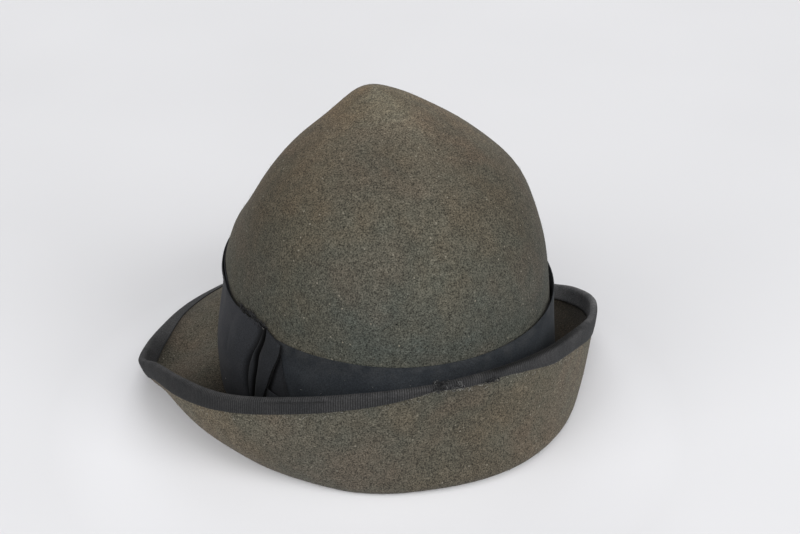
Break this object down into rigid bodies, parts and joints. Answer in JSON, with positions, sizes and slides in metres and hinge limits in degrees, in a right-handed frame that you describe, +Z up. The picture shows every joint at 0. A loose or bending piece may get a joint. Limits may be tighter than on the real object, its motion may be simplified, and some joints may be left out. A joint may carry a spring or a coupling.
{
  "type": "alpine cap",
  "caption": "Felt alpine hat with a pointed crown, a brim turned up at the back and down in front, a wide ribbon with a flat bow, and a bound edge",
  "frame": {"origin": "middle of the cap's bounding box, on the surface that it rests on", "axes": "+Z up through the crown, -Y towards the wearer's front, +X towards the wearer's left, where the bow is"},
  "size_m": [0.2628, 0.2528, 0.166],
  "materials": {
    "felt": "mottled olive-brown wool felt, matt",
    "ribbon": "fine ribbed ribbon, low sheen",
    "binding": "ribbed ribbon, worn matt"
  },
  "bodies": {
    "root": {"felt_body": "felt", "hatband": "ribbon", "brim_binding": "binding", "bow_loop": "ribbon", "bow_knot": "ribbon", "bow_tail": "ribbon"}
  },
  "joints": []
}
